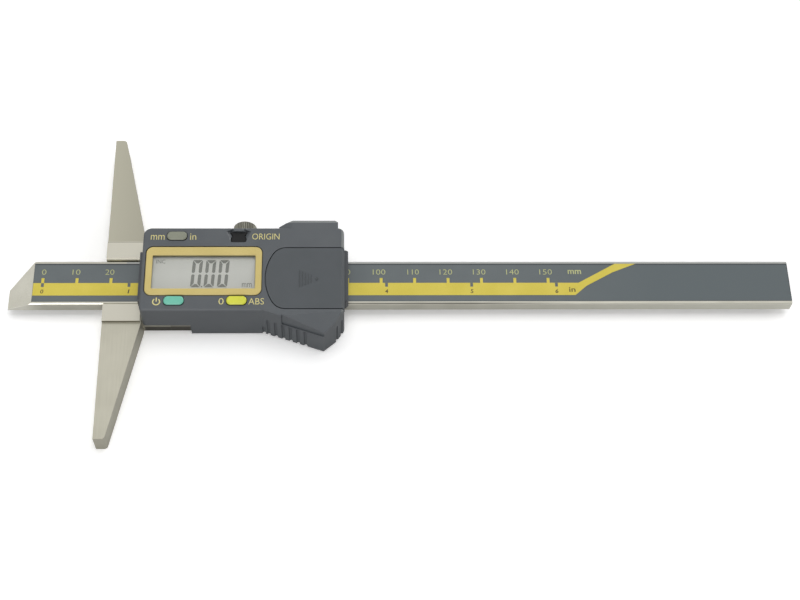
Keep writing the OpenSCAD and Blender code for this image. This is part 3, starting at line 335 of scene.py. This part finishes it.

# Milled steel is duller, with lines along the cut, and the frame's colour is darkened further
# by painted shade, since it lies under the housing; rolled sheet is smoother and brighter.
# Turned screws glint round their heads, and the bronze gib strip is a warm brown gold.
frame_steel = ground_steel("milled_stainless_frame", "#8f8d82", "#9d9a90", roughness=0.45, along=0)
# Painted shadow: the frame's lowest part is darkened where the housing keeps the light from it.
shade_where(frame_steel, "#605e57", Z=under_housing, soft=0.3)
sheet_steel = ground_steel("rolled_stainless_sheet", "#a9a79c", "#b8b6ab", roughness=0.38, along=0)
screw_steel = ground_steel("turned_screw_steel", "#8d8b82", "#a3a198", roughness=0.35, along=2)
gib_bronze = ground_steel("rolled_phosphor_bronze", "#a9854a", "#bb9656", roughness=0.4, along=0)
dress(frame_steel, "slider_frame")
dress(sheet_steel, "retaining_plate")
dress(screw_steel, "base_screws", "gib_screws", "housing_screws", "stop_screws")
dress(gib_bronze, "gib_strip")


# Lock screw
# The lock screw is turned from free-cutting stainless steel, and its knob is straight knurled
# by a roller. The ribs catch the light one by one, and the valleys between them get painted shade.
knob_steel = ground_steel("knurled_stainless", "#7b7a70", "#a09f94",
                          roughness=0.38, along=1, bump=0.08)
dress(knob_steel, "lock_screw")

# Painted shade, by the distance from the screw's own axis: the ribs outside and the plain end
# face within keep the steel's colour, and the valleys under the ribs are painted dark.
knob_low, knob_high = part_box("lock_screw")
axis = (knob_low + knob_high) / 2
knob_radius = knob_high.z - axis.z
tree, shader, place = parts_of(knob_steel)
across = add(tree, "ShaderNodeMapping", {
    "Vector": place, "Location": (-axis.x, 0, -axis.z), "Scale": (1, 0, 1)})
from_axis = add(tree, "ShaderNodeVectorMath", {"Vector": across.outputs["Vector"]},
                operation="LENGTH").outputs["Value"]
rib = add(tree, "ShaderNodeMapRange", {
    "Value": from_axis, "From Min": knob_radius - 0.2 * MM, "From Max": knob_radius - 0.05 * MM})
face = add(tree, "ShaderNodeMapRange", {
    "Value": from_axis, "From Min": knob_radius - 0.35 * MM, "From Max": knob_radius - 0.45 * MM})
bright = add(tree, "ShaderNodeMath", {
    "Value": rib.outputs["Result"], "Value_001": face.outputs["Result"]}, operation="MAXIMUM")
knurled = add(tree, "ShaderNodeMix", {
    "Factor": bright.outputs["Value"], "A_Color": linear("#4c4b44"),
    "B_Color": shader.inputs["Base Color"].links[0].from_socket}, data_type="RGBA")
tree.links.new(knurled.outputs[2], shader.inputs["Base Color"])


# Housing
# The housing is injection moulded ABS in a dark blue grey. The mould is spark eroded, which
# gives the plastic a fine matt grain that hides scratches.
housing_abs = moulded("spark_grained_abs", "#4c5054", "#53575a",
                      roughness=0.5, grain_mm=0.22, bump=0.22, IOR=1.54)
collar_abs = moulded("moulded_black_abs", "#414447", "#484b4e",
                     roughness=0.45, grain_mm=0.25, bump=0.15, IOR=1.54)
dress(housing_abs, "housing")
dress(collar_abs, "front_collar", "rear_collar", "port_cover", "port_socket")

# The eased edges at the right and at the back get a painted highlight, a pale line of light.
house_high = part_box("housing")[1] / MM
eased_edge = (house_high.z - 1.2, house_high.z + 0.6)
shade_where(housing_abs, "#737777", X=(house_high.x - 0.8, house_high.x + 1), Z=eased_edge)
shade_where(housing_abs, "#737777", Y=(house_high.y - 0.95, house_high.y + 1), Z=eased_edge)

# Pad printing: a thin, even, pale yellow lacquer.
label_ink = moulded("yellow_pad_print", "#d3c987", "#dcd291",
                    roughness=0.45, grain_mm=0.3, bump=0.03, IOR=1.5)
label_z = house_high.z + print_lift

# Each label stands to the left or the right of its own key. After the gap to the key and the
# width come the reach of the letters below and above the key's middle.
for name, text, key, side, gap, wide, below, above in (
        ("unit_label_mm", "mm", "unit_key", "left", 0.25, 4.0, 1.25, 0.35),
        ("unit_label_in", "in", "unit_key", "right", 0.45, 1.8, 1.25, 0.85),
        ("origin_label", "ORIGIN", "origin_key", "right", 1.02, 8.03, 0.98, 1.05),
        ("zero_label", "0", "zero_key", "left", 0.25, 1.5, 1.26, 0.8),
        ("absolute_label", "ABS", "zero_key", "right", 0.05, 4.5, 1.28, 0.78)):
    low, high = [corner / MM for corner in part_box(key)]
    start = high.x + gap if side == "right" else low.x - gap - wide
    middle = (low.y + high.y) / 2
    printed(name, text, (start, start + wide), (middle - below, middle + above), label_z,
            "slider", label_ink, weight=-0.006)


def flat_piece(name, outlines, body, material):
    """Flat printed shapes as one mesh: each outline is a ring of points in mm."""
    shape = bmesh.new()
    for outline in outlines:
        shape.faces.new([shape.verts.new([v * MM for v in point]) for point in outline])
    mesh = bpy.data.meshes.new(name)
    shape.to_mesh(mesh)
    shape.free()
    add_piece(name, mesh, material, body)


def power_symbol(x, y, radius, width, z):
    """The usual on and off symbol: a ring open at its top, and a bar in the opening."""
    first, turn, steps = 125, 290, 28  # degrees from the right, and quads in the ring
    inner, outer, half = radius - width / 2, radius + width / 2, width / 2
    angles = [math.radians(first + turn * i / steps) for i in range(steps + 1)]
    quads = [[(x + r * math.cos(t), y + r * math.sin(t), z)
              for r, t in ((inner, a), (outer, a), (outer, b), (inner, b))]
             for a, b in zip(angles, angles[1:])]
    foot, top = y + 0.05, y + radius + 0.35
    quads.append([(x - half, foot, z), (x + half, foot, z), (x + half, top, z),
                  (x - half, top, z)])
    return quads


low, high = [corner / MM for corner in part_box("power_key")]
symbol = power_symbol(low.x - 1.55, (low.y + high.y) / 2 - 0.35, radius=1.0, width=0.34,
                      z=label_z)
flat_piece("power_label", symbol, "slider", label_ink)


# Battery cover
# The battery cover is moulded from the same ABS a shade darker, with the same spark grain. It
# slides off the housing's end on two hidden runners, and low ribs on it point that way.
cover_abs = moulded("spark_grained_abs_cover", "#414649", "#474b4f",
                    roughness=0.48, grain_mm=0.22, bump=0.22, IOR=1.54)
# The ribs' plastic is the cover's ABS painted darker, as painted shade around the low ribs.
rib_painted_shade_abs = moulded("spark_grained_abs_ribs", "#363a3d", "#3c4043",
                  roughness=0.48, grain_mm=0.22, bump=0.22, IOR=1.54)
dress(cover_abs, "battery_cover")


def bar_ring(x, y, wide, long):
    """The four corners of a bar that lies along Y; wide and long are half of its sides."""
    return [(x - wide, y - long), (x + wide, y - long), (x + wide, y + long), (x - wide, y + long)]


def tip_ring(x, y, wide, long):
    """The four corners of a small diamond; wide and long are half of its width and length."""
    return [(x - wide, y), (x, y - long), (x + wide, y), (x, y + long)]


cover_low, cover_high = [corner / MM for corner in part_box("battery_cover")]
first_rib, rib_pitch = cover_high.x - 13.1, 0.85
rib_y = (cover_low.y + cover_high.y) / 2 - 0.35
rib_foot, rib_top, rib_draft = cover_high.z - 0.1, cover_high.z + 0.12, 0.08
half_wide, longest, shorter_by = 0.2, 2.8, 0.35
bars = [(bar_ring, first_rib + rib_pitch * i, half_wide, longest - shorter_by * i)
        for i in range(5)]
diamond = (tip_ring, first_rib + 5.0, 0.6, 0.75)
ribs = bmesh.new()
for ring, x, wide, long in bars + [diamond]:
    foot, top = [[ribs.verts.new(Vector((u, v, z)) * MM)
                  for u, v in ring(x, rib_y, wide - draft, long - draft)]
                 for z, draft in ((rib_foot, 0), (rib_top, rib_draft))]
    ribs.faces.new(foot[::-1])
    ribs.faces.new(top)
    for i in range(4):
        ribs.faces.new((foot[i], foot[(i + 1) % 4], top[(i + 1) % 4], top[i]))
mesh = bpy.data.meshes.new("slide_ribs")
ribs.to_mesh(mesh)
ribs.free()
add_piece("slide_ribs", mesh, rib_painted_shade_abs, "battery_door")


# Bezel and display
# The bezel is a pale yellow plastic frame, and the window in it is clear acrylic. Behind the
# window the liquid crystal panel is grey green, with its segments a soft darker grey.
bezel_plastic = moulded("satin_yellow_plastic", "#c7b46f", "#cfbc79",
                        roughness=0.38, grain_mm=0.4, bump=0.06, IOR=1.5)
dress(bezel_plastic, "bezel")

# The sides of the bezel, in their narrow seams, are darkened with painted shade.
bezel_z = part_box("bezel")[1].z / MM
shade_where(bezel_plastic, "#6a6440", Z=(0, bezel_z - 0.35), soft=0.15)

# Polished acrylic is smooth and nearly invisible but for its reflections.
window_acrylic = moulded("clear_acrylic", "#e6e9e4", "#eceee9",
                         roughness=0.06, grain_mm=1.5, bump=0.0, IOR=1.49, Alpha=0.06)
dress(window_acrylic, "display_window")

# The panel is glass with a matt polariser on it. A driven segment is darker than a faint one.
panel_glass = moulded("grey_green_crystal_panel", "#bfc0ba", "#c5c6c0",
                      roughness=0.25, grain_mm=0.3, bump=0.02, IOR=1.52)
segment_grey = moulded("dark_crystal_segment", "#61635c", "#696b64",
                       roughness=0.3, grain_mm=0.3, bump=0.02, IOR=1.52)
ghost_grey = moulded("faint_crystal_segment", "#6f716a", "#75776f",
                     roughness=0.3, grain_mm=0.3, bump=0.02, IOR=1.52)
dress(panel_glass, "lcd_panel")

panel_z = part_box("lcd_panel")[1].z / MM + print_lift
window_low, window_high = [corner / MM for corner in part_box("display_window")]
first_digit, digit_foot = window_low.x + 11.8, window_low.y + 1.85
digit_pitch, digit_wide, digit_high, stroke, slant = 3.9, 2.95, 9.05, 0.95, 0.55


def segment_zero(left):
    """A seven-segment nought: four upright bars with cut ends, and two wedges that lie flat."""
    gap, cut = 0.16, 0.35  # half the gap between the halves, and the cut at a bar's end
    middle = digit_wide / 2
    bar_top = digit_high / 2 - gap
    shoulder = bar_top - cut
    wedge = [(0.1, 0), (digit_wide - 0.1, 0), (middle + 0.3, stroke + 0.15),
             (middle - 0.3, stroke + 0.15)]
    bar = [(0, 0.3), (stroke * 0.35, 0.42), (stroke, stroke + cut), (stroke, shoulder),
           (stroke / 2, bar_top), (0, shoulder)]
    lower = [wedge, bar, [(digit_wide - u, v) for u, v in reversed(bar)]]
    upper = [[(u, digit_high - v) for u, v in reversed(ring)] for ring in lower]
    return [[(left + u + slant * v / digit_high, digit_foot + v, panel_z) for u, v in ring]
            for ring in lower + upper]


noughts = [ring for i in range(3) for ring in segment_zero(first_digit + digit_pitch * i)]
point_wide = 0.45
point_left = first_digit + 3.15
point_right = point_left + point_wide
point = [(point_left, digit_foot, panel_z), (point_right, digit_foot, panel_z),
         (point_right, digit_foot + point_wide, panel_z),
         (point_left, digit_foot + point_wide, panel_z)]
flat_piece("display_digits", noughts + [point], "slider", segment_grey)
printed("display_unit", "mm", (window_high.x - 4.53, window_high.x - 1.67),
        (digit_foot, digit_foot + 1.4), panel_z, "slider", segment_grey, weight=0.0)
printed("display_mode", "INC", (window_low.x + 1.6, window_low.x + 4.3),
        (window_high.y - 2.65, window_high.y - 1.35), panel_z, "slider", ghost_grey)


# Keys
# Three keys are moulded in coloured ABS and polished, so their eased edges show a soft line of
# light. The sunk one is matt black silicone rubber, so that it isn't pressed by mistake.
grey_key = moulded("grey_green_abs", "#7e8172", "#868979",
                   roughness=0.35, grain_mm=0.5, bump=0.05, IOR=1.54)
black_key = moulded("black_silicone", "#08090a", "#0d0e0f",
                    roughness=0.6, grain_mm=0.5, bump=0.05, IOR=1.41)
teal_key = moulded("teal_abs", "#67b9a2", "#71c1ab",
                   roughness=0.35, grain_mm=0.5, bump=0.05, IOR=1.54)
yellow_key = moulded("bright_yellow_abs", "#d0d240", "#d8da48",
                     roughness=0.35, grain_mm=0.5, bump=0.05, IOR=1.54)
dress(grey_key, "unit_key")
dress(black_key, "origin_key")
dress(teal_key, "power_key")
dress(yellow_key, "zero_key")

# The sides of the keys stand in narrow holes, where little light comes, so they get painted shade.
key_sides = (0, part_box("zero_key")[1].z / MM - 0.35)
shade_where(grey_key, "#2f302b", Z=key_sides)
shade_where(teal_key, "#204038", Z=key_sides)
shade_where(yellow_key, "#3b3a0e", Z=key_sides)


# Parts inside
# Nickel-plated spring contacts and domes with a warm glint, dull pink silicone contact strips,
# and a button cell in its bright plated can. They show only when the battery cover is off.
spring_metal = ground_steel("nickelled_spring_bronze", "#c2ab66", "#cfb974", roughness=0.3, along=0)
strip_silicone = moulded("pink_silicone", "#cf8088", "#d88c94",
                         roughness=0.6, grain_mm=0.4, bump=0.1, IOR=1.41)
cell_can = ground_steel("nickelled_steel_can", "#bcbcb8", "#cccbc7", roughness=0.25, along=0)
dress(spring_metal, "key_domes", "negative_contact", "positive_contact")
dress(strip_silicone, "contact_strips")
dress(cell_can, "button_cell")


# Table and light
# The tool lies on a seamless white table, in a white room. One broad soft light is overhead,
# a low one behind edges the far sides, and a panel at the front left lights the near ones.
bpy.ops.mesh.primitive_plane_add(size=6.0, location=(0.05, 0.0, -0.05 * MM))
table = bpy.context.object
table.name = "table"
paper = bpy.data.materials.new("seamless_paper")
paper.use_nodes = True
tree = paper.node_tree
tree.nodes.clear()

# The paper is pale grey to the light that falls on the tool. Where it is seen, also through
# clear parts and in reflections, it glows a little towards white, and it keeps the shadow.
paper_glow, mirrored_share = 0.2, 0.4
ray = add(tree, "ShaderNodeLightPath")
seen = add(tree, "ShaderNodeMath", {
    "Value": ray.outputs["Is Camera Ray"], "Value_001": ray.outputs["Is Transmission Ray"]},
    operation="MAXIMUM")
mirrored = add(tree, "ShaderNodeMath", {
    "Value": ray.outputs["Is Glossy Ray"], "Value_001": mirrored_share},
    operation="MULTIPLY")
either = add(tree, "ShaderNodeMath", {
    "Value": seen.outputs["Value"], "Value_001": mirrored.outputs["Value"]},
    operation="MAXIMUM")
lift = add(tree, "ShaderNodeMath", {
    "Value": either.outputs["Value"], "Value_001": paper_glow}, operation="MULTIPLY")
white = add(tree, "ShaderNodeMix", {
    "Factor": ray.outputs["Is Camera Ray"], "A_Color": linear("#c8c8c8"),
    "B_Color": linear("#ffffff")}, data_type="RGBA")
matt = add(tree, "ShaderNodeBsdfDiffuse", {"Color": white.outputs[2]})
glow = add(tree, "ShaderNodeEmission", {
    "Color": linear("#ffffff"), "Strength": lift.outputs["Value"]})
both = add(tree, "ShaderNodeAddShader", {
    "Shader": matt.outputs["BSDF"], "Shader_001": glow.outputs["Emission"]})
add(tree, "ShaderNodeOutputMaterial", {"Surface": both.outputs["Shader"]})
table.data.materials.append(paper)

# The room is white where it is seen, mirrored or looked at through the window, and lights the
# tool at less than half of that.
room_light, room_seen = 0.4, 1.0
world = bpy.data.worlds.new("soft_room")
bpy.context.scene.world = world
world.use_nodes = True
tree = world.node_tree
tree.nodes.clear()
ray = add(tree, "ShaderNodeLightPath")
seen = add(tree, "ShaderNodeMath", {
    "Value": ray.outputs["Is Camera Ray"], "Value_001": ray.outputs["Is Glossy Ray"]},
    operation="MAXIMUM")
seen_through = add(tree, "ShaderNodeMath", {
    "Value": seen.outputs["Value"], "Value_001": ray.outputs["Is Transmission Ray"]},
    operation="MAXIMUM")
level = add(tree, "ShaderNodeMapRange", {
    "Value": seen_through.outputs["Value"], "To Min": room_light, "To Max": room_seen})
room = add(tree, "ShaderNodeBackground", {
    "Color": linear("#ffffff"), "Strength": level.outputs["Result"]})
add(tree, "ShaderNodeOutputWorld", {"Surface": room.outputs["Background"]})


def soft_sun(name, energy, comes_from):
    """A soft light 40 degrees wide from far away, given by where it comes from."""
    data = bpy.data.lights.new(name, "SUN")
    data.energy = energy
    data.angle = math.radians(40)
    sun = put_in_scene(name, data)
    sun.rotation_euler = Vector(comes_from).to_track_quat("Z", "Y").to_euler()
    return sun


# The overhead light isn't mirrored, so that steel and window show the white room instead.
soft_sun("soft_key_light", 1.3, (0.1, 0.12, 1.0)).visible_glossy = False
soft_sun("low_rim_light", 1.6, (0.45, 0.86, 0.13))

front_data = bpy.data.lights.new("front_left_panel", "AREA")
front_data.shape = "RECTANGLE"
front_data.size = 0.35
front_data.size_y = 0.2
front_data.energy = 1.25
front = put_in_scene("front_left_panel", front_data)
front.location = (-0.12, -0.66, 0.22)
middle_of_tool = Vector((0.05, 0, 0.01))
front.rotation_euler = (front.location - middle_of_tool).to_track_quat("Z", "Y").to_euler()
